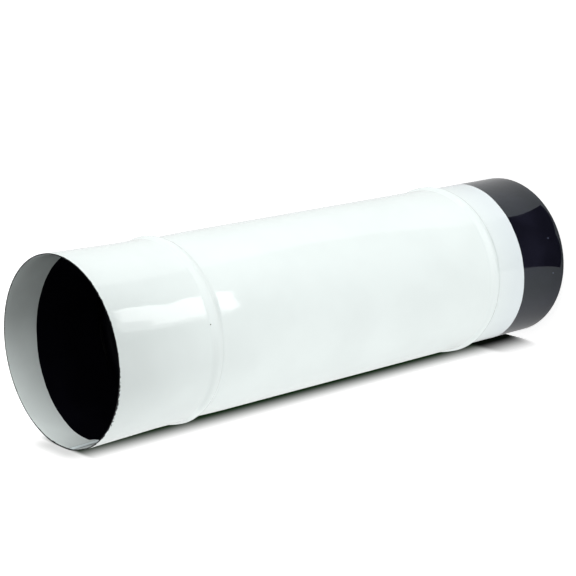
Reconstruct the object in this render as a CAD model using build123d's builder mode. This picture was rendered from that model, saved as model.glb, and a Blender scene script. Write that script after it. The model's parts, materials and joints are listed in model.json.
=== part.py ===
from build123d import *
import math
import os

# Straight length of single-wall enamelled steel stove pipe, in millimetres.
# It stands on the cut end of its spigot. The origin is the middle of that end, and +Z runs
# along the pipe's axis, up to the flared mouth of the socket.

# Lengths along the axis
spigot_length = 96.0  # cut end of the spigot to the middle of the lower bead
beads_apart = 323.0  # middle of the lower bead to the middle of the upper bead
socket_length = 97.0  # middle of the upper bead to the mouth's rim
bead_width = 14.0  # root to root of a rolled bead
seat_length = 23.0  # socket's seat for the next spigot, from the bead to where the flare turns out
neck_length = 6.0  # narrowest stretch, just under the upper bead
neck_run_out = 52.0  # where the neck widens back to the plain body

# Sizes across the axis
body_diameter = 150.0  # outside of the plain body
wall = 0.8  # steel sheet with its enamel
spigot_inset = 0.7  # how far the spigot is drawn in from the plain body, on the radius
seat_clearance = 0.25  # all round, between a spigot and the socket's seat
mouth_flare = 1.8  # how far the mouth opens out past the seat, on the radius
bead_height = 2.3  # crest of a bead above the plain body
neck_depth = 0.6  # how far rolling the upper bead drew the body in under it

# Bend of the flare and cut edges
flare_bend_radius = 300.0  # where the straight seat turns into the flare
edge_break = 0.2  # enamel takes the corners off the sheet's cut edges

# Longitudinal seam: the sheet's two edges overlap and are rolled flat as they are welded
seam_angle = 98.5  # degrees from +X towards +Y
seam_width = 8.0  # overlap, measured along the bore
seam_rise = 0.2  # what the flattened overlap still stands proud of the bore
seam_end_gap = 1.5  # the overlap stops short of both cut ends

# Radii of the outer surface
body_radius = body_diameter / 2
bore_radius = body_radius - wall
spigot_radius = body_radius - spigot_inset
seat_radius = spigot_radius + seat_clearance + wall
mouth_radius = seat_radius + mouth_flare
neck_radius = body_radius - neck_depth
crest_radius = body_radius + bead_height

# Heights above the spigot's cut end
half_bead = bead_width / 2
lower_bead_height = spigot_length
upper_bead_height = lower_bead_height + beads_apart
spigot_top = lower_bead_height - half_bead
body_bottom = lower_bead_height + half_bead
neck_top = upper_bead_height - half_bead
neck_bottom = neck_top - neck_length
body_top = neck_bottom - neck_run_out
seat_bottom = upper_bead_height + half_bead
seat_top = seat_bottom + seat_length
total_length = upper_bead_height + socket_length


def sheet_line(end_gap=0.0):
    """Draw the sheet's outer surface from the spigot's end to the mouth, as radius and height."""
    flare_slope = mouth_flare / (total_length - seat_top)
    mouth = (mouth_radius - flare_slope * end_gap, total_length - end_gap)
    spigot_root, lower_body_root = (spigot_radius, spigot_top), (body_radius, body_bottom)
    neck_root, seat_root = (neck_radius, neck_top), (seat_radius, seat_bottom)
    Line((spigot_radius, end_gap), spigot_root)
    ThreePointArc(spigot_root, (crest_radius, lower_bead_height), lower_body_root)
    Polyline(lower_body_root, (body_radius, body_top), (neck_radius, neck_bottom), neck_root)
    ThreePointArc(neck_root, (crest_radius, upper_bead_height), seat_root)
    FilletPolyline(seat_root, (seat_radius, seat_top), mouth, radius=flare_bend_radius)


# The seam's overlap, from the middle of the wall inwards: a low band along the bore and its beads
seam_sweep = math.degrees(seam_width / bore_radius)
with BuildPart() as overlap:
    with BuildSketch(Plane.XZ.rotated((0, 0, seam_angle - seam_sweep / 2))):
        with BuildLine():
            sheet_line(seam_end_gap)
            offset(amount=wall / 2, side=Side.LEFT, kind=Kind.INTERSECTION, closed=False)
            offset(amount=wall / 2 + seam_rise, side=Side.LEFT, kind=Kind.INTERSECTION)
        make_face()
    revolve(axis=Axis.Z, revolution_arc=seam_sweep)

# The rolled sheet, with both beads, the neck, the seat, the flare and its seam
with BuildPart() as pipe:
    with BuildSketch(Plane.XZ):
        with BuildLine():
            sheet_line()
            offset(amount=wall, side=Side.LEFT, kind=Kind.INTERSECTION)
        section = make_face()
        corners = section.vertices().sort_by(Axis.Y)
        chamfer(corners[:2] + corners[-2:], length=edge_break)
    revolve(axis=Axis.Z)
    add(overlap.part)

pipe.part.label = "stove_pipe"

os.makedirs("parts", exist_ok=True)
export_step(pipe.part, "parts/stove_pipe.step")
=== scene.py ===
import json
import math

import bpy
from bpy.props import FloatProperty, FloatVectorProperty, IntProperty, PointerProperty
from bpy.types import Operator, Panel, PropertyGroup
from mathutils import Matrix, Vector


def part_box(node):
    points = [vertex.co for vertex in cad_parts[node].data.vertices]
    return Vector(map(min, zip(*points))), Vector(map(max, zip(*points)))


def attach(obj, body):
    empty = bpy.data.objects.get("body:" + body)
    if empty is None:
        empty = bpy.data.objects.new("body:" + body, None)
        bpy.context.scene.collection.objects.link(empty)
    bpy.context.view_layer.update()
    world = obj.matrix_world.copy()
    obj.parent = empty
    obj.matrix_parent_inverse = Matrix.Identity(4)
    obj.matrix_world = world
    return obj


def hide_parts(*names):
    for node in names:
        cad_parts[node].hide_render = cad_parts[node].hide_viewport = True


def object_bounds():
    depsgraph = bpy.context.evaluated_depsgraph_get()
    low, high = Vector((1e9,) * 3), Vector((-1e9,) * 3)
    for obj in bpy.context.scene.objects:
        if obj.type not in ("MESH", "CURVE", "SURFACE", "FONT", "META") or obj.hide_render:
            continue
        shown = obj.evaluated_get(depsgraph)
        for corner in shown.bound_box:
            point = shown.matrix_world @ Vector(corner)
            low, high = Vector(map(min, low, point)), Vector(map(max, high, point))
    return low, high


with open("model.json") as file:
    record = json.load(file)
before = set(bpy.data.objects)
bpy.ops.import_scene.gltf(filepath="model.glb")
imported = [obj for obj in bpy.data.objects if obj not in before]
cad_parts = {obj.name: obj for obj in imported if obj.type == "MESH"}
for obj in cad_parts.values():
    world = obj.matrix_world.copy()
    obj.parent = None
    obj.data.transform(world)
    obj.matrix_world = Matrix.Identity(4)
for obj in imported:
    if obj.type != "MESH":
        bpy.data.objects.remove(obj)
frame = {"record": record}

bl_info = {
    "name": "Enamelled Stove Pipe",
    "version": (1, 0, 0),
    "blender": (4, 5, 0),
    "location": "View3D > Sidebar > Stove Pipe",
    "description": "Rolled sheet, enamel and studio for one length of enamelled stove pipe",
    "category": "Object",
}

CAD_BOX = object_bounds()
NODE = "stove_pipe"
MOUNTS = {mount["name"]: mount for mount in frame["record"]["mounts"]}
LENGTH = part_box(NODE)[1].z
SPIGOT_RADIUS = MOUNTS["spigot"]["dims"]["r_mm"] / 1000
SEAT_BORE_RADIUS = MOUNTS["socket"]["dims"]["r_mm"] / 1000
SPIGOT_TOP = MOUNTS["spigot"]["dims"]["length_mm"] / 1000 + 0.0002
MM = 0.001

# Zones of the section, which carry one enamel each
BLACK_END, WHITE_COAT, CUT_EDGE, LIP, BORE = range(5)


# Sizes and colours that a user would change


class PipeSizes(PropertyGroup):
    wall: FloatProperty(
        name="Wall", description="Sheet steel with its enamel", default=0.8 * MM, unit="LENGTH"
    )
    body_radius: FloatProperty(
        name="Body Radius", description="Outside of the plain body", default=75 * MM, unit="LENGTH"
    )
    bead_width: FloatProperty(
        name="Bead Width", description="Root to root of a rolled bead", default=14 * MM, unit="LENGTH"
    )
    bead_height: FloatProperty(
        name="Bead Height", description="Crest above the plain body", default=2.25 * MM, unit="LENGTH"
    )
    bead_root: FloatProperty(
        name="Bead Root", description="How far a bead's soft foot runs out past its width",
        default=0.5 * MM, unit="LENGTH",
    )
    beads_apart: FloatProperty(
        name="Beads Apart", description="Middle of one bead to the other", default=323 * MM,
        unit="LENGTH",
    )
    neck_depth: FloatProperty(
        name="Neck Depth", description="How far the body is drawn in under the upper bead",
        default=0.7 * MM, unit="LENGTH",
    )
    neck_run: FloatProperty(
        name="Neck Run", description="How far under the upper bead the body starts to draw in",
        default=40 * MM, unit="LENGTH",
    )
    seat_length: FloatProperty(
        name="Seat Length", description="Straight stretch above the upper bead", default=23 * MM,
        unit="LENGTH",
    )
    mouth_flare: FloatProperty(
        name="Mouth Flare", description="How far the mouth opens past the seat", default=1.8 * MM,
        unit="LENGTH",
    )
    edge_round: FloatProperty(
        name="Edge Rounding", description="Radius of enamel round the cut edges", default=0.25 * MM,
        unit="LENGTH",
    )
    seam_angle: FloatProperty(
        name="Seam Angle", description="Where the lengthwise seam runs", subtype="ANGLE",
        default=math.radians(98.5),
    )
    seam_width: FloatProperty(
        name="Seam Width", description="Overlap of the sheet's edges", default=8 * MM, unit="LENGTH"
    )
    seam_rise: FloatProperty(
        name="Seam Rise", description="How far the overlap stands into the bore", default=0.2 * MM,
        unit="LENGTH",
    )
    seam_flat: FloatProperty(
        name="Seam Flats", description="How far rolling left the sheet flat beside the seam",
        default=0.35 * MM, unit="LENGTH",
    )
    waviness: FloatProperty(
        name="Waviness", description="Depth of the sheet's unevenness", default=0.05 * MM,
        unit="LENGTH",
    )
    facets_round: IntProperty(
        name="Facets Round", description="Faces round the pipe", default=320, min=48
    )


class EnamelLook(PropertyGroup):
    white: FloatVectorProperty(
        name="White Coat", description="Colour of the white cover coat", subtype="COLOR",
        default=(0.80, 0.865, 0.85),
    )
    black: FloatVectorProperty(
        name="Ground Coat", description="Colour of the black ground coat", subtype="COLOR",
        default=(0.006, 0.006, 0.011),
    )
    edge: FloatVectorProperty(
        name="Cut Edge", description="Colour of the burnt cut edges", subtype="COLOR",
        default=(0.012, 0.012, 0.013),
    )
    line_height: FloatProperty(
        name="Coat Line", description="Mean height of the white coat's edge on the spigot",
        default=46.4 * MM, unit="LENGTH",
    )
    line_tilt: FloatVectorProperty(
        name="Coat Line Tilt", description="Slope of that edge along X and Y", size=2,
        default=(-0.1373, -0.0756),
    )
    lip_depth: FloatProperty(
        name="Lip Depth", description="Mean depth of the white coat inside the mouth",
        default=27.9 * MM, unit="LENGTH",
    )
    lip_tilt: FloatVectorProperty(
        name="Lip Tilt", description="Slope of that edge along X and Y", size=2,
        default=(-0.0276, 0.056),
    )
    lip_dip: FloatProperty(
        name="Lip Dip", description="How much deeper the white coat runs along the seam",
        default=4.5 * MM, unit="LENGTH",
    )
    coat_step: FloatProperty(
        name="Coat Step", description="Thickness of the white coat's edge", default=0.12 * MM,
        unit="LENGTH",
    )


class StudioLook(PropertyGroup):
    fill: FloatProperty(
        name="Fill", description="Mean strength of the even studio light", default=0.86
    )
    front: FloatProperty(
        name="Front Lamp", description="Power of the soft lamp before the body", default=47.0,
        subtype="POWER",
    )
    key: FloatProperty(
        name="Key Lamp", description="Power of the large soft lamp at the side", default=14.5,
        subtype="POWER",
    )
    bounce: FloatProperty(
        name="Bounce Lamp", description="Power of the low soft lamp opposite the key", default=15.0,
        subtype="POWER",
    )
    back: FloatProperty(
        name="Back Lamp", description="Power of the large soft lamp behind", default=4.0,
        subtype="POWER",
    )
    window: FloatProperty(
        name="Window", description="Brightness of the small card that the enamel mirrors",
        default=4.0,
    )


# The sheet's section


def spread(start, end, steps):
    """Even stations from start up to, and without, end."""
    return [start + (end - start) * step / steps for step in range(steps)]


def ease(share):
    share = min(1.0, max(0.0, share))
    return share * share * (3 - 2 * share)


class SheetLine:
    """The outer surface of the sheet as a radius for each height."""

    def __init__(self, sizes):
        self.sizes = sizes
        self.half_bead = sizes.bead_width / 2
        self.reach = self.half_bead + sizes.bead_root
        self.lower_bead = SPIGOT_TOP + self.half_bead
        self.upper_bead = self.lower_bead + sizes.beads_apart
        self.seat_radius = SEAT_BORE_RADIUS + sizes.wall
        self.crest = sizes.body_radius + sizes.bead_height
        self.seat_top = self.upper_bead + self.half_bead + sizes.seat_length
        self.neck_top = self.upper_bead - self.half_bead

    def plain(self, height):
        """Radius with no beads."""
        sizes = self.sizes
        if height < self.lower_bead:
            return SPIGOT_RADIUS
        if height < self.upper_bead:
            share = 1 - max(0.0, self.neck_top - height) / sizes.neck_run
            return sizes.body_radius - sizes.neck_depth * max(0.0, share) ** 2
        flare = max(0.0, height - self.seat_top) / (LENGTH - self.seat_top)
        return self.seat_radius + sizes.mouth_flare * flare

    def radius(self, height):
        for middle in (self.lower_bead, self.upper_bead):
            off = (height - middle) / self.reach
            if abs(off) < 1:
                below, above = self.plain(middle - self.reach), self.plain(middle + self.reach)
                foot = below + (above - below) * ease((off + 1) / 2)
                return foot + (self.crest - (below + above) / 2) * (1 - off * off) ** 2
        return self.plain(height)

    def slope(self, height):
        reach = 0.02 * MM
        return (self.radius(height + reach) - self.radius(height - reach)) / (2 * reach)


def heights_of_sheet(line, look):
    """Stations up the sheet, closer on the beads and at the two edges of the white coat."""
    near = [-6, -4, -2, -1, -0.5, -0.2, 0, 0.2, 0.5, 1, 2, 4, 6]
    coat = [look.line_height + step * MM for step in near]
    lip = [LENGTH - look.lip_depth + step * MM for step in near]
    reach = line.reach + 0.3 * MM
    low, high = line.lower_bead - reach, line.lower_bead + reach
    upper_low, upper_high = line.upper_bead - reach, line.upper_bead + reach
    rim = line.sizes.edge_round
    neck_start = line.neck_top - line.sizes.neck_run
    return (
        spread(rim, coat[0], 4) + coat + spread(coat[-1], low, 5)[1:]
        + spread(low, high, 34) + spread(high, neck_start, 18)
        + spread(neck_start, upper_low, 10) + spread(upper_low, upper_high, 34)
        + spread(upper_high, line.seat_top, 4) + spread(line.seat_top, lip[0], 5)
        + lip + spread(lip[-1], LENGTH - rim, 5)[1:] + [LENGTH - rim]
    )


class SectionPoint:
    """One point of the closed section, and what the turn does to it."""

    def __init__(self, radius, height, zone, slope=0.0, tilt=(0, 0, 0), lap=0.0, dip=0.0):
        self.radius, self.height, self.zone = radius, height, zone
        self.slope, self.tilt, self.lap, self.dip = slope, tilt, lap, dip


def follow(height, mean, tilt, reach):
    """Slope and wobble of a station that goes along with a coat's edge, fading out away from it."""
    share = 1 - ease(max(0.0, abs(height - mean) - 6 * MM) / reach)
    return (tilt[0] * share, tilt[1] * share, share)


def section_points(sizes, look):
    """Closed section: up the outside, over the mouth's rim, down the bore and round the spigot's end."""
    line = SheetLine(sizes)
    heights = heights_of_sheet(line, look)
    outside, bore = [], []
    for height in heights:
        radius, slope = line.radius(height), line.slope(height)
        lean = math.hypot(1, slope)
        coat = look.coat_step * ease((height - look.line_height) / (0.4 * MM) + 0.5)
        near_coat = 1 - ease((height - look.line_height - 1 * MM) / (5 * MM))
        zone = BLACK_END if height < look.line_height - 0.01 * MM else WHITE_COAT
        tilt = follow(height, look.line_height, look.line_tilt, 24 * MM)
        outside.append(
            SectionPoint(radius + coat * near_coat, height, zone, slope, tilt, 0.05 * MM)
        )
        lip_height = LENGTH - look.lip_depth
        zone = LIP if height > lip_height - 0.01 * MM else BORE
        tilt = follow(height, lip_height, look.lip_tilt, 12 * MM)
        inner_radius, inner_height = radius - sizes.wall / lean, height + sizes.wall * slope / lean
        at_end = min(height, LENGTH - height)
        lap = -sizes.seam_rise * ease((at_end - 1 * MM) / (1 * MM))
        dip = look.lip_dip * tilt[2]
        bore.append(SectionPoint(inner_radius, inner_height, zone, slope, tilt, lap, dip))
    for here, above in zip(bore, bore[1:]):
        above.height = max(above.height, here.height + 0.01 * MM)
    # In a face strip the zone is its first point's, so the bore takes that of the point below
    for upper, lower in zip(bore[:0:-1], bore[-2::-1]):
        upper.zone = lower.zone
    outside[-1].zone = CUT_EDGE
    bore[0].zone = CUT_EDGE
    return outside + rim(outside[-1], bore[-1], LENGTH, 1) + bore[::-1] + rim(bore[0], outside[0], 0, -1)


def rim(first, last, level, way):
    """Rounded cut edge between the two surfaces of the sheet, out to a level."""
    middle = (first.radius + last.radius) / 2
    half = abs(first.radius - last.radius) / 2
    reach = abs(level - first.height)
    points = []
    for angle in (20, 45, 70, 90, 110, 135, 160):
        turn = math.radians(angle)
        across = math.copysign(abs(math.cos(turn)) ** 0.6, math.cos(turn))
        out = math.sin(turn) ** 0.6
        side = 1 if first.radius > last.radius else -1
        points.append(
            SectionPoint(middle + side * across * half, level - way * reach * (1 - out), CUT_EDGE)
        )
    return points


def section_mesh(points):
    """The section as a mesh of loose points that carry what the turn needs."""
    mesh = bpy.data.meshes.new("sheet_section")
    mesh.from_pydata([(p.radius, 0, p.height) for p in points], [], [])
    layers = (
        ("slope", "FLOAT", "value", [p.slope for p in points]),
        ("lap", "FLOAT", "value", [p.lap for p in points]),
        ("dip", "FLOAT", "value", [p.dip for p in points]),
        ("zone", "INT", "value", [p.zone for p in points]),
        ("tilt", "FLOAT_VECTOR", "vector", [x for p in points for x in p.tilt]),
    )
    for name, kind, key, values in layers:
        mesh.attributes.new(name, kind, "POINT").data.foreach_set(key, values)
    return mesh


# The tree that turns the section into the rolled sheet


class TreeWriter:
    """Adds nodes to a tree and hands back their output sockets."""

    def __init__(self, tree):
        self.tree = tree

    def add(self, kind, output=0, settings=(), **inputs):
        node = self.tree.nodes.new(kind)
        for key, value in dict(settings).items():
            setattr(node, key, value)
        for key, value in inputs.items():
            self.put(node.inputs[key.replace("_", " ")], value)
        return node.outputs[output]

    def put(self, socket, value):
        if isinstance(value, bpy.types.NodeSocket):
            self.tree.links.new(value, socket)
        else:
            socket.default_value = value

    def math(self, operation, *values):
        node = self.tree.nodes.new("ShaderNodeMath")
        node.operation = operation
        for socket, value in zip(node.inputs, values):
            self.put(socket, value)
        return node.outputs[0]

    def vector(self, x=0.0, y=0.0, z=0.0):
        return self.add("ShaderNodeCombineXYZ", X=x, Y=y, Z=z)

    def smooth(self, value, low, high, to_low=0.0, to_high=1.0):
        node = self.tree.nodes.new("ShaderNodeMapRange")
        node.interpolation_type = "SMOOTHSTEP"
        for name, given in (
            ("Value", value), ("From Min", low), ("From Max", high),
            ("To Min", to_low), ("To Max", to_high),
        ):
            self.put(node.inputs[name], given)
        return node.outputs[0]


def turning_tree(materials):
    """Geometry nodes: the section's points, turned round the pipe's axis, as one closed sheet."""
    tree = bpy.data.node_groups.new("Roll Sheet", "GeometryNodeTree")
    tree.is_modifier = True
    face = tree.interface.new_socket
    face(name="Geometry", in_out="INPUT", socket_type="NodeSocketGeometry")
    face(name="Facets Round", in_out="INPUT", socket_type="NodeSocketInt")
    for name in ("Seam Angle", "Seam Width", "Seam Flats", "Waviness", "Line Wobble"):
        face(name=name, in_out="INPUT", socket_type="NodeSocketFloat")
    face(name="Seed", in_out="INPUT", socket_type="NodeSocketFloat")
    face(name="Geometry", in_out="OUTPUT", socket_type="NodeSocketGeometry")
    write = TreeWriter(tree)
    given = tree.nodes.new("NodeGroupInput").outputs
    section = given["Geometry"]
    facets, seed = given["Facets Round"], given["Seed"]

    count = write.add("GeometryNodeAttributeDomainSize", Geometry=section)
    columns, rows = write.math("ADD", facets, 1), write.math("ADD", count, 1)
    grid = write.add(
        "GeometryNodeMeshGrid", Size_X=1.0, Size_Y=1.0, Vertices_X=columns, Vertices_Y=rows
    )
    index = write.add("GeometryNodeInputIndex")
    column = write.math("MODULO", write.math("FLOOR", write.math("DIVIDE", index, rows)), facets)
    row = write.math("MODULO", write.math("MODULO", index, rows), count)

    def sampled(kind, value, at):
        node = tree.nodes.new("GeometryNodeSampleIndex")
        node.data_type = kind
        tree.links.new(section, node.inputs["Geometry"])
        tree.links.new(value, node.inputs["Value"])
        tree.links.new(at, node.inputs["Index"])
        return node.outputs[0]

    def stored(name, kind):
        return write.add(
            "GeometryNodeInputNamedAttribute", settings={"data_type": kind}, Name=name
        )

    place = sampled("FLOAT_VECTOR", write.add("GeometryNodeInputPosition"), row)
    slope = sampled("FLOAT", stored("slope", "FLOAT"), row)
    lap = sampled("FLOAT", stored("lap", "FLOAT"), row)
    dip = sampled("FLOAT", stored("dip", "FLOAT"), row)
    tilt = sampled("FLOAT_VECTOR", stored("tilt", "FLOAT_VECTOR"), row)

    # Angles, crowded towards the seam, where the overlap's edges are sharp
    share = write.math("DIVIDE", column, facets)
    full_turn = write.math("MULTIPLY", share, math.tau)
    crowded = write.math("MULTIPLY", write.math("SINE", full_turn), -0.72)
    from_seam = write.math("ADD", full_turn, crowded)
    angle = write.math("ADD", from_seam, given["Seam Angle"])
    cosine, sine = write.math("COSINE", angle), write.math("SINE", angle)
    parts = tree.nodes.new("ShaderNodeSeparateXYZ")
    tree.links.new(place, parts.inputs[0])
    radius, height = parts.outputs["X"], parts.outputs["Z"]
    x, y = write.math("MULTIPLY", radius, cosine), write.math("MULTIPLY", radius, sine)
    arc = write.math("MULTIPLY", write.math("PINGPONG", from_seam, math.pi), radius)

    # Stations slide along the sheet to follow the tilted, slightly uneven edges of the white coat
    tilts = tree.nodes.new("ShaderNodeSeparateXYZ")
    tree.links.new(tilt, tilts.inputs[0])
    wobble = write.add(
        "ShaderNodeTexNoise", settings={"noise_dimensions": "4D"},
        Vector=write.vector(cosine, sine, write.math("MULTIPLY", height, 4.0)), W=seed,
        Scale=3.2, Detail=3.0, Roughness=0.62,
    )
    wobble = write.math("MULTIPLY", write.math("SUBTRACT", wobble, 0.5), given["Line Wobble"])
    slide = write.math(
        "ADD",
        write.math("ADD", write.math("MULTIPLY", tilts.outputs["X"], x),
                   write.math("MULTIPLY", tilts.outputs["Y"], y)),
        write.math("MULTIPLY", tilts.outputs["Z"], wobble),
    )
    by_seam = write.smooth(arc, 5.5 * MM, 9 * MM, 1.0, 0.0)
    slide = write.math("SUBTRACT", slide, write.math("MULTIPLY", dip, by_seam))

    # Overlap of the seam, the flats beside it, and the sheet's slight waves
    half_seam = write.math("MULTIPLY", given["Seam Width"], 0.5)
    overlap = write.smooth(
        arc, write.math("SUBTRACT", half_seam, 0.2 * MM), write.math("ADD", half_seam, 0.2 * MM),
        1.0, 0.0,
    )
    off_flat = write.math("DIVIDE", write.math("SUBTRACT", arc, 13 * MM), 9 * MM)
    flats = write.math("EXPONENT", write.math("MULTIPLY", write.math("MULTIPLY", off_flat, off_flat), -1.0))
    waves = write.add(
        "ShaderNodeTexNoise", settings={"noise_dimensions": "4D"},
        Vector=write.vector(x, y, write.math("MULTIPLY", height, 0.45)), W=seed,
        Scale=26.0, Detail=1.0, Roughness=0.4,
    )
    turned = write.math("ADD", radius, write.math("MULTIPLY", slope, slide))
    turned = write.math("ADD", turned, write.math("MULTIPLY", lap, overlap))
    turned = write.math("SUBTRACT", turned, write.math("MULTIPLY", flats, given["Seam Flats"]))
    turned = write.math("SUBTRACT", turned, write.math("MULTIPLY", waves, given["Waviness"]))
    moved = write.add(
        "GeometryNodeSetPosition", Geometry=grid,
        Position=write.vector(
            write.math("MULTIPLY", turned, cosine), write.math("MULTIPLY", turned, sine),
            write.math("ADD", height, slide),
        ),
    )

    # Each strip of faces takes the zone of its first point
    strip = write.math("MODULO", index, count)
    zone = sampled("INT", stored("zone", "INT"), strip)
    zoned = write.add(
        "GeometryNodeStoreNamedAttribute", settings={"data_type": "INT", "domain": "FACE"},
        Geometry=moved, Name="zone", Value=zone,
    )
    closed = write.add("GeometryNodeMergeByDistance", Geometry=zoned, Distance=0.001 * MM)
    smooth = write.add("GeometryNodeSetShadeSmooth", Geometry=closed)
    result = write.add("GeometryNodeRealizeInstances", Geometry=smooth)
    for number, material in enumerate(materials):
        chosen = write.add(
            "FunctionNodeCompare", settings={"data_type": "INT", "operation": "EQUAL"},
            output="Result",
        )
        picked = chosen.node
        integers = [s for s in picked.inputs if s.type == "INT"]
        write.put(integers[0], stored("zone", "INT"))
        write.put(integers[1], number)
        result = write.add(
            "GeometryNodeSetMaterial", Geometry=result, Selection=chosen, Material=material
        )
    tree.links.new(result, tree.nodes.new("NodeGroupOutput").inputs["Geometry"])
    return tree


def plain_mesh(carrier, name):
    """Turn what the carrier's modifier makes into a plain mesh object, and drop the carrier."""
    bpy.context.view_layer.update()
    evaluated = carrier.evaluated_get(bpy.context.evaluated_depsgraph_get())
    mesh = bpy.data.meshes.new_from_object(evaluated)
    carrier.modifiers.clear()
    bpy.data.objects.remove(carrier)
    mesh.name = name
    piece = bpy.data.objects.new(name, mesh)
    bpy.context.scene.collection.objects.link(piece)
    return piece


# Enamels


def principled(name):
    material = bpy.data.materials.new(name)
    material.use_nodes = True
    nodes = material.node_tree.nodes
    nodes.clear()
    shader = nodes.new("ShaderNodeBsdfPrincipled")
    output = nodes.new("ShaderNodeOutputMaterial")
    material.node_tree.links.new(shader.outputs[0], output.inputs["Surface"])
    return material, shader, TreeWriter(material.node_tree)


def object_point(write):
    return write.add("ShaderNodeTexCoord", output="Object")


def enamel_bump(write, shader, depth, grain=620.0):
    """Orange peel of fired enamel over the long swell of its flow."""
    point = object_point(write)
    peel = write.add("ShaderNodeTexNoise", Vector=point, Scale=grain, Detail=2.0, Roughness=0.5)
    ripple = write.add("ShaderNodeTexNoise", Vector=point, Scale=130.0, Detail=1.0, Roughness=0.4)
    flow = write.add("ShaderNodeTexNoise", Vector=point, Scale=70.0, Detail=2.0, Roughness=0.45)
    swell = write.math("ADD", write.math("MULTIPLY", ripple, 4.0), write.math("MULTIPLY", flow, 5.0))
    height = write.math("ADD", peel, swell)
    normal = write.add(
        "ShaderNodeBump", Strength=1.0, Distance=depth, Height=height
    )
    write.put(shader.inputs["Normal"], normal)


def colour_mix(write, share, first, second):
    node = write.tree.nodes.new("ShaderNodeMix")
    node.data_type = "RGBA"
    write.put(node.inputs["Factor"], share)
    colours = [s for s in node.inputs if s.type == "RGBA"]
    for socket, colour in zip(colours, (first, second)):
        if isinstance(colour, bpy.types.NodeSocket):
            write.put(socket, colour)
        else:
            socket.default_value = (*colour, 1.0)
    return next(s for s in node.outputs if s.type == "RGBA")


def speck(write, point, place, size):
    """Share that is 1 inside a small round fault of the enamel."""
    gap = write.add(
        "ShaderNodeVectorMath", output="Value", settings={"operation": "DISTANCE"}
    )
    node = gap.node
    write.put(node.inputs[0], point)
    write.put(node.inputs[1], place)
    return write.smooth(gap, size * 0.6, size, 1.0, 0.0)


def split(write, vector):
    parts = write.tree.nodes.new("ShaderNodeSeparateXYZ")
    write.put(parts.inputs[0], vector)
    return parts.outputs["X"], parts.outputs["Y"], parts.outputs["Z"]


def tinted(colour, tint):
    return tuple(channel * share for channel, share in zip(colour, tint))


def white_enamel(look):
    """White cover coat: cloudy, greyer and bluer towards its lower edge, chipped at the rim, with a pinhole.
    """
    material, shader, write = principled("white_cover_enamel")
    point = object_point(write)
    x, y, z = split(write, point)
    cloud = write.add("ShaderNodeTexNoise", Vector=point, Scale=14.0, Detail=3.0, Roughness=0.5)
    dim = tinted(look.white, (0.965, 0.965, 0.965))
    full = colour_mix(write, write.smooth(cloud, 0.35, 0.65), dim, tuple(look.white))
    over_line = write.math("MULTIPLY_ADD", x, -look.line_tilt[0], z)
    over_line = write.math("MULTIPLY_ADD", y, -look.line_tilt[1], over_line)
    over_line = write.math("SUBTRACT", over_line, look.line_height)
    # The white turns greyer and bluer over the 52 mm above the coat's lower edge
    cover = write.smooth(over_line, 0.0, 52 * MM)
    colour = colour_mix(write, cover, tinted(look.white, LOW_EDGE_TINT), full)
    chips = write.add("ShaderNodeTexNoise", Vector=point, Scale=420.0, Detail=3.0, Roughness=0.7)
    bite = write.smooth(chips, 0.42, 0.62, 0.2 * MM, 1.7 * MM)
    ragged = write.smooth(y, -20 * MM, 45 * MM, 0.35, 1.0)
    from_rim = write.math("SUBTRACT", LENGTH, z)
    left = write.math("SUBTRACT", from_rim, write.math("MULTIPLY", bite, ragged))
    chipped = write.smooth(left, -0.05 * MM, 0.05 * MM, 1.0, 0.0)
    faults = write.math("MAXIMUM", chipped, speck(write, point, PINHOLE, 0.6 * MM))
    write.put(shader.inputs["Base Color"], colour_mix(write, faults, colour, tuple(look.edge)))
    write.put(
        shader.inputs["Roughness"],
        write.smooth(write.math("ADD", cloud, write.math("MULTIPLY", faults, 4.0)), 0.3, 4.5, 0.04, 0.5),
    )
    enamel_bump(write, shader, 0.006 * MM)
    return material


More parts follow.
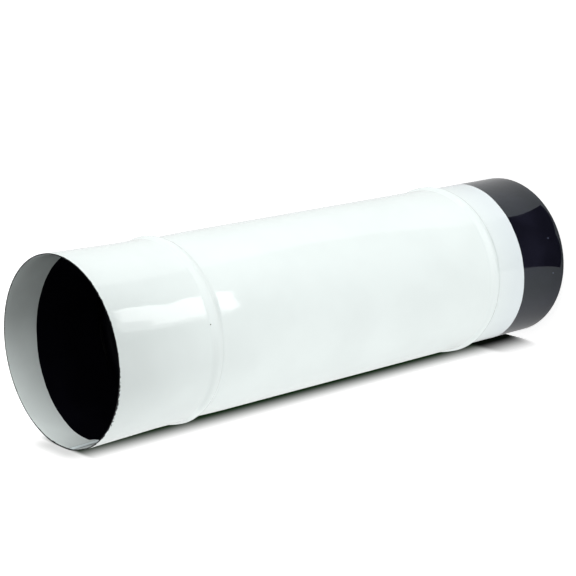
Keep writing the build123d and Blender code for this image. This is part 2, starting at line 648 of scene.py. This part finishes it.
def lip_enamel(look, sizes):
    """White coat sprayed thinly into the mouth, with painted shade on one side and painted light on the
    other, broken along the seam's edges and at the rim.
    """
    material, shader, write = principled("lip_enamel_painted_shade_and_light")
    point = object_point(write)
    x, y, z = split(write, point)
    cloud = write.add("ShaderNodeTexNoise", Vector=point, Scale=26.0, Detail=3.0, Roughness=0.55)
    # Painted shade and light: the mouth's white is darker on the side turned from the lamps and lighter on
    # the side towards them; the first colour is the painted shade, the second the painted light
    thin, lit_lip = (tinted(look.white, (cover,) * 3) for cover in LIP_SHADE_AND_LIGHT)
    side = write.math("MULTIPLY", x, LIT_SIDE[0] / SEAT_BORE_RADIUS)
    side = write.math("MULTIPLY_ADD", y, LIT_SIDE[1] / SEAT_BORE_RADIUS, side)
    cover = write.math("MULTIPLY", write.smooth(side, 0.42, 0.97), 0.88)
    cover = write.math("MULTIPLY_ADD", write.smooth(cloud, 0.35, 0.65), 0.12, cover)
    colour = colour_mix(write, cover, thin, lit_lip)
    turn = write.math("SUBTRACT", write.math("ARCTAN2", y, x), sizes.seam_angle)
    arc = write.math("MULTIPLY", write.math("ABSOLUTE", turn), SEAT_BORE_RADIUS)
    half_seam = sizes.seam_width / 2
    band = write.smooth(arc, half_seam - 0.2 * MM, half_seam + 0.2 * MM, 1.0, 0.0)
    colour = colour_mix(write, band, colour, tinted(lit_lip, (0.97, 1.0, 1.03)))
    to_edge = write.math("ABSOLUTE", write.math("SUBTRACT", arc, half_seam))
    crack = write.smooth(to_edge, 0.2 * MM, 0.6 * MM, 0.85, 0.0)
    chips = write.add("ShaderNodeTexNoise", Vector=point, Scale=420.0, Detail=3.0, Roughness=0.7)
    ragged = write.smooth(arc, 10 * MM, 60 * MM, 1.5 * MM, 0.5 * MM)
    bite = write.math("MULTIPLY", write.smooth(chips, 0.42, 0.66, 0.35, 1.0), ragged)
    left = write.math("SUBTRACT", write.math("SUBTRACT", LENGTH, z), bite)
    chipped = write.smooth(left, -0.05 * MM, 0.05 * MM, 1.0, 0.0)
    faults = write.math("MAXIMUM", crack, chipped)
    write.put(shader.inputs["Base Color"], colour_mix(write, faults, colour, tuple(look.edge)))
    write.put(shader.inputs["Roughness"], write.smooth(cloud, 0.3, 0.7, 0.12, 0.2))
    enamel_bump(write, shader, 0.008 * MM)
    return material


def black_enamel(look):
    """Black ground coat left bare on the spigot's end, as glossy as the white."""
    material, shader, write = principled("black_ground_enamel")
    point = object_point(write)
    cloud = write.add("ShaderNodeTexNoise", Vector=point, Scale=22.0, Detail=3.0, Roughness=0.5)
    lighter = tuple(channel * 1.7 for channel in look.black)
    colour = colour_mix(write, write.smooth(cloud, 0.35, 0.65), tuple(look.black), lighter)
    first, second = (speck(write, point, place, 0.6 * MM) for place in DUST)
    dust = write.math("MAXIMUM", first, second)
    write.put(shader.inputs["Base Color"], colour_mix(write, dust, colour, (0.2, 0.24, 0.34)))
    shader.inputs["Specular Tint"].default_value = (0.84, 0.98, 1.0, 1.0)
    shader.inputs["IOR"].default_value = 1.55
    write.put(shader.inputs["Roughness"], write.smooth(cloud, 0.3, 0.7, 0.06, 0.11))
    enamel_bump(write, shader, 0.006 * MM)
    return material


def cut_edge(look):
    """Cut edges, burnt dark, with the enamel thin and broken over them."""
    material, shader, write = principled("burnt_cut_edge")
    point = object_point(write)
    wear = write.add("ShaderNodeTexNoise", Vector=point, Scale=160.0, Detail=4.0, Roughness=0.65)
    share = write.smooth(wear, 0.6, 0.7)
    write.put(
        shader.inputs["Base Color"], colour_mix(write, share, tuple(look.edge), (0.1, 0.105, 0.105))
    )
    write.put(shader.inputs["Roughness"], write.smooth(wear, 0.3, 0.7, 0.45, 0.7))
    shader.inputs["Specular IOR Level"].default_value = 0.12
    enamel_bump(write, shader, 0.02 * MM, 900.0)
    return material


def bore_enamel(look):
    """Ground coat inside the bore, dull and very dark."""
    material, shader, write = principled("bore_ground_enamel")
    point = object_point(write)
    cloud = write.add("ShaderNodeTexNoise", Vector=point, Scale=18.0, Detail=4.0, Roughness=0.55)
    dark = tuple(channel * 0.3 for channel in look.black)
    write.put(
        shader.inputs["Base Color"],
        colour_mix(write, write.smooth(cloud, 0.35, 0.7), dark, tinted(look.black, (0.6, 0.6, 0.6))),
    )
    write.put(shader.inputs["Roughness"], write.smooth(cloud, 0.3, 0.7, 0.05, 0.09))
    enamel_bump(write, shader, 0.004 * MM)
    return material


PINHOLE = (-0.0727, -0.0204, 0.4253)
DUST = ((-0.0681, -0.0296, 0.0168), (-0.0742, 0.0028, 0.0152))
LOW_EDGE_TINT = (0.916, 0.918, 0.954)  # greyer, bluer tint that the white takes towards the coat's lower edge
LIP_SHADE_AND_LIGHT = (0.66, 1.06)  # painted brightness of the mouth's white on its shaded and on its lit side, to the coat's
LIT_SIDE = (math.cos(math.radians(48)), math.sin(math.radians(48)))  # the side of the mouth painted lightest, as if lit most


class STOVEPIPE_OT_rolled_pipe(Operator):
    """Roll the sheet with its beads, flare and seam, and enamel it"""

    bl_idname = "stovepipe.rolled_pipe"
    bl_label = "Rolled Pipe"

    def execute(self, context):
        sizes, look = context.scene.pipe_sizes, context.scene.enamel_look
        materials = [
            black_enamel(look), white_enamel(look), cut_edge(look), lip_enamel(look, sizes),
            bore_enamel(look),
        ]
        section = section_mesh(section_points(sizes, look))
        carrier = bpy.data.objects.new("section_carrier", section)
        context.scene.collection.objects.link(carrier)
        tree = turning_tree(materials)
        modifier = carrier.modifiers.new("Roll Sheet", "NODES")
        modifier.node_group = tree
        values = {
            "Facets Round": sizes.facets_round,
            "Seam Angle": sizes.seam_angle,
            "Seam Width": sizes.seam_width,
            "Seam Flats": sizes.seam_flat,
            "Waviness": sizes.waviness,
            "Line Wobble": 1.6 * MM,
            "Seed": 3.7,
        }
        for socket in tree.interface.items_tree:
            if socket.in_out == "INPUT" and socket.name in values:
                modifier[socket.identifier] = values[socket.name]
        pipe = plain_mesh(carrier, "enamelled_pipe")
        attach(pipe, "root")
        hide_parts(NODE)
        return {"FINISHED"}


# Studio

CAMERA_PLACE = (-1.0647, -0.3607, LENGTH + 0.7264)
CAMERA_RIGHT = Vector((-0.6709, 0.0, -0.7416))
CAMERA_UP = Vector((0.1748, -0.9718, -0.1581))
CAMERA_LENS = 107.9  # millimetres on a sensor 36 mm wide
FLOOR_GLOW = 0.55  # lifts the floor to white for the camera
AIR_LEAN = 0.5  # how much stronger than its mean the even light is on the key's side
CARD_LEVEL = 1 * MM
# Outlines of the cards on the floor that the enamel mirrors, in metres from the pipe's axis
FLAG_EDGE = [(-0.063, -0.084), (-0.088, -0.17), (-0.032, -0.4), (-0.08, -0.62), (-0.08, -2.5)]
FAR_FLAG = FLAG_EDGE + [(-2.5, -2.5), (-2.5, 0.3), (-0.15, 0.3), (-0.15, 0.0)]
NEAR_FLAG = [
    (-0.0765, 0.0), (-0.15, -0.003), (-0.15, -0.12), (-0.08, -0.14),
    (-0.063, -0.084), (-0.0485, -0.059), (-0.069, -0.033),
]
WINDOW = [
    (-0.56, -0.25), (-0.535, -0.26), (-0.5, -0.335), (-0.45, -0.4), (-0.43, -0.44), (-0.43, -0.5),
    (-0.44, -0.555), (-0.46, -0.56), (-0.53, -0.495), (-0.575, -0.448), (-0.58, -0.42),
    (-0.56, -0.36), (-0.59, -0.29),
]
SILL = [
    (-0.59, -0.29), (-0.56, -0.36), (-0.58, -0.42), (-0.575, -0.448), (-0.605, -0.42),
    (-0.65, -0.335), (-0.65, -0.3), (-0.615, -0.235), (-0.575, -0.22), (-0.56, -0.25),
]


def only_seen_by(thing, camera=False, glossy=False, diffuse=False, shadow=False):
    thing.visible_camera, thing.visible_glossy = camera, glossy
    thing.visible_diffuse, thing.visible_shadow = diffuse, shadow
    thing.visible_transmission = thing.visible_volume_scatter = False


def flat_card(name, corners, material):
    mesh = bpy.data.meshes.new(name)
    mesh.from_pydata([Vector(c) for c in corners], [], [tuple(range(len(corners)))])
    mesh.materials.append(material)
    card = bpy.data.objects.new(name, mesh)
    bpy.context.scene.collection.objects.link(card)
    return card


def pale_floor():
    """Pale matt floor that looks white to the camera and in reflections, and keeps the shadow."""
    material = bpy.data.materials.new("pale_floor")
    material.use_nodes = True
    tree = material.node_tree
    tree.nodes.clear()
    write = TreeWriter(tree)
    paths = tree.nodes.new("ShaderNodeLightPath").outputs
    glow = write.math("MULTIPLY", paths["Is Camera Ray"], FLOOR_GLOW)
    matt = write.add("ShaderNodeBsdfDiffuse", Color=(0.82, 0.82, 0.82, 1.0))
    surface = tree.nodes.new("ShaderNodeAddShader")
    write.put(surface.inputs[0], matt)
    write.put(surface.inputs[1], write.add("ShaderNodeEmission", Strength=glow))
    write.put(tree.nodes.new("ShaderNodeOutputMaterial").inputs["Surface"], surface.outputs[0])
    return material


def shade_film():
    """Clear film that only darkens: a painted soft shadow along the line where the pipe touches a wall."""
    material = bpy.data.materials.new("shade_film")
    material.use_nodes = True
    tree = material.node_tree
    tree.nodes.clear()
    write = TreeWriter(tree)
    across, _, height = split(write, object_point(write))
    # The shade narrows towards and past the spigot's end
    past_end = write.math("EXPONENT", write.math("MULTIPLY", height, -1 / (3.74 * MM)))
    widened = write.math("MULTIPLY_ADD", past_end, 0.55, 1.0)
    off = write.math("ADD", write.math("ABSOLUTE", across), 2 * MM)
    off = write.math("SUBTRACT", write.math("MULTIPLY", off, widened), 2 * MM)
    pale = write.smooth(off, 10 * MM, 50 * MM)
    deep = write.smooth(off, 15 * MM, 62 * MM)
    by_spigot = write.smooth(height, 48 * MM, 60 * MM, 1.0, 0.0)
    along = write.math(
        "ADD", write.math("MULTIPLY", deep, by_spigot),
        write.math("MULTIPLY", pale, write.math("SUBTRACT", 1.0, by_spigot)),
    )
    at_rim = write.smooth(height, LENGTH - 6 * MM, LENGTH, 0.0, 0.52)
    past_rim = write.smooth(height, LENGTH + 2 * MM, LENGTH + 26 * MM, 0.0, 0.48)
    lifted = write.math("SUBTRACT", 1.0, write.math("ADD", at_rim, past_rim))
    dimmed = write.math("MULTIPLY", write.math("SUBTRACT", 1.0, along), lifted)
    behind = write.add("ShaderNodeNewGeometry", output="Backfacing")
    light = write.math("MAXIMUM", write.math("SUBTRACT", 1.0, dimmed), behind)
    dark = colour_mix(write, by_spigot, (0.004, 0.014, 0.004), (0.002, 0.003, 0.002))
    colour = colour_mix(write, light, dark, (1.0, 1.0, 1.0))
    clear = write.add("ShaderNodeBsdfTransparent", Color=colour)
    write.put(tree.nodes.new("ShaderNodeOutputMaterial").inputs["Surface"], clear)
    return material


def glowing(name, strength, fade=None):
    """Plain light of a card that only reflections see, rising along Y where a fade is given."""
    material = bpy.data.materials.new(name)
    material.use_nodes = True
    tree = material.node_tree
    tree.nodes.clear()
    write = TreeWriter(tree)
    power = strength
    if fade:
        parts = tree.nodes.new("ShaderNodeSeparateXYZ")
        write.put(parts.inputs[0], object_point(write))
        power = write.smooth(parts.outputs["Y"], *fade, 0.0, strength)
    light = write.add("ShaderNodeEmission", Strength=power)
    write.put(tree.nodes.new("ShaderNodeOutputMaterial").inputs["Surface"], light)
    return material


def photographer(scene):
    """The photograph's camera: it looks down on the mouth, turned so that the pipe lies along the picture."""
    data = bpy.data.cameras.new("camera")
    data.lens, data.sensor_width = CAMERA_LENS, 36.0
    camera = bpy.data.objects.new("camera", data)
    scene.collection.objects.link(camera)
    right = CAMERA_RIGHT.normalized()
    up = (CAMERA_UP - right * CAMERA_UP.dot(right)).normalized()
    axes = Matrix((right, up, right.cross(up))).transposed().to_4x4()
    camera.matrix_world = Matrix.Translation(CAMERA_PLACE) @ axes
    scene.camera = camera


def area_lamp(name, place, aim, size, power, colour=(1.0, 1.0, 1.0)):
    data = bpy.data.lights.new(name, "AREA")
    data.shape, data.size, data.energy, data.color = "SQUARE", size, power, colour
    lamp = bpy.data.objects.new(name, data)
    bpy.context.scene.collection.objects.link(lamp)
    lamp.location = place
    lamp.rotation_mode = "QUATERNION"
    lamp.rotation_quaternion = (Vector(aim) - Vector(place)).to_track_quat("-Z", "Y")
    lamp.visible_camera = lamp.visible_glossy = False
    return lamp


def front_lamp(power):
    """Soft spot on the body, whose pool of light thins out towards the mouth."""
    data = bpy.data.lights.new("front_lamp", "SPOT")
    data.energy, data.shadow_soft_size = power, 0.05
    data.spot_size, data.spot_blend = math.radians(21), 0.8
    place, aim = Vector((-1.98, -0.17, 0.3)), Vector((0.0, 0.0, 0.2))
    lamp = bpy.data.objects.new("front_lamp", data)
    bpy.context.scene.collection.objects.link(lamp)
    lamp.location = place
    lamp.rotation_mode = "QUATERNION"
    lamp.rotation_quaternion = (aim - place).to_track_quat("-Z", "Y")
    lamp.visible_camera = lamp.visible_glossy = False
    return lamp


def studio_world(strength):
    world = bpy.data.worlds.new("studio_air")
    world.use_nodes = True
    tree = world.node_tree
    tree.nodes.clear()
    write = TreeWriter(tree)
    paths = tree.nodes.new("ShaderNodeLightPath").outputs
    seen = write.math("MAXIMUM", paths["Is Camera Ray"], paths["Is Glossy Ray"])
    seen = write.math("MAXIMUM", seen, paths["Is Transmission Ray"])
    parts = tree.nodes.new("ShaderNodeSeparateXYZ")
    write.put(parts.inputs[0], write.add("ShaderNodeTexCoord", output="Generated"))
    lean = write.math("MULTIPLY_ADD", parts.outputs["Y"], -AIR_LEAN * strength, strength)
    unlit = write.math("SUBTRACT", 1.0, seen)
    power = write.math("MULTIPLY_ADD", lean, unlit, seen)
    air = write.add("ShaderNodeBackground", Strength=power)
    write.put(tree.nodes.new("ShaderNodeOutputWorld").inputs["Surface"], air)
    bpy.context.scene.world = world


class STOVEPIPE_OT_stage(Operator):
    """Lay the floor and the shade film, set the lamps and cards, and place the camera"""

    bl_idname = "stovepipe.stage"
    bl_label = "Stage"

    def execute(self, context):
        scene = context.scene
        studio = scene.studio_look
        far = 6.0
        flat_card(
            "floor", [(-far, -far, 0), (far, -far, 0), (far, far, 0), (-far, far, 0)], pale_floor()
        )
        touch = CAD_BOX[1].y + 0.3 * MM
        film = flat_card(
            "shade_film",
            [(-0.1, touch, -0.03), (0.1, touch, -0.03), (0.1, touch, 0.56), (-0.1, touch, 0.56)],
            shade_film(),
        )
        only_seen_by(film, camera=True)
        cards = (
            ("far_flag", FAR_FLAG, 1, 0.85, (-0.2, 0.15)),
            ("near_flag", NEAR_FLAG, 2, 0.0, None),
            ("window_card", WINDOW, 3, studio.window, None),
            ("sill_card", SILL, 3, 1.6, None),
        )
        for name, outline, layer, strength, fade in cards:
            corners = [(x, y, layer * CARD_LEVEL) for x, y in outline]
            card = flat_card(name, corners, glowing(name, strength, fade))
            only_seen_by(card, glossy=True)
        middle = (0, 0, LENGTH / 2)
        front_lamp(studio.front)
        area_lamp("key_lamp", (0.3, -1.8, 1.0), middle, 1.4, studio.key)
        area_lamp("bounce_lamp", (0.0, 1.9, 0.3), middle, 0.8, studio.bounce)
        area_lamp("back_lamp", (1.6, 0.7, 0.9), middle, 1.4, studio.back)
        studio_world(studio.fill)
        photographer(scene)
        scene.view_settings.view_transform = "Standard"
        return {"FINISHED"}


class STOVEPIPE_PT_panel(Panel):
    """Sizes, enamels and studio of the stove pipe"""

    bl_idname = "STOVEPIPE_PT_panel"
    bl_label = "Stove Pipe"
    bl_space_type = "VIEW_3D"
    bl_region_type = "UI"
    bl_category = "Stove Pipe"

    def draw(self, context):
        for group in (context.scene.pipe_sizes, context.scene.enamel_look, context.scene.studio_look):
            box = self.layout.box()
            for name in group.__annotations__:
                box.prop(group, name)
        for operator in OPERATORS:
            self.layout.operator(operator.bl_idname)


OPERATORS = (STOVEPIPE_OT_rolled_pipe, STOVEPIPE_OT_stage)
GROUPS = {"pipe_sizes": PipeSizes, "enamel_look": EnamelLook, "studio_look": StudioLook}


def register():
    for cls in (*GROUPS.values(), *OPERATORS, STOVEPIPE_PT_panel):
        bpy.utils.register_class(cls)
    for name, group in GROUPS.items():
        setattr(bpy.types.Scene, name, PointerProperty(type=group))


def unregister():
    for name in GROUPS:
        delattr(bpy.types.Scene, name)
    for cls in (STOVEPIPE_PT_panel, *reversed(OPERATORS), *reversed(GROUPS.values())):
        bpy.utils.unregister_class(cls)


def main():
    register()
    bpy.ops.stovepipe.rolled_pipe()
    bpy.ops.stovepipe.stage()


if __name__ == "__main__":
    main()
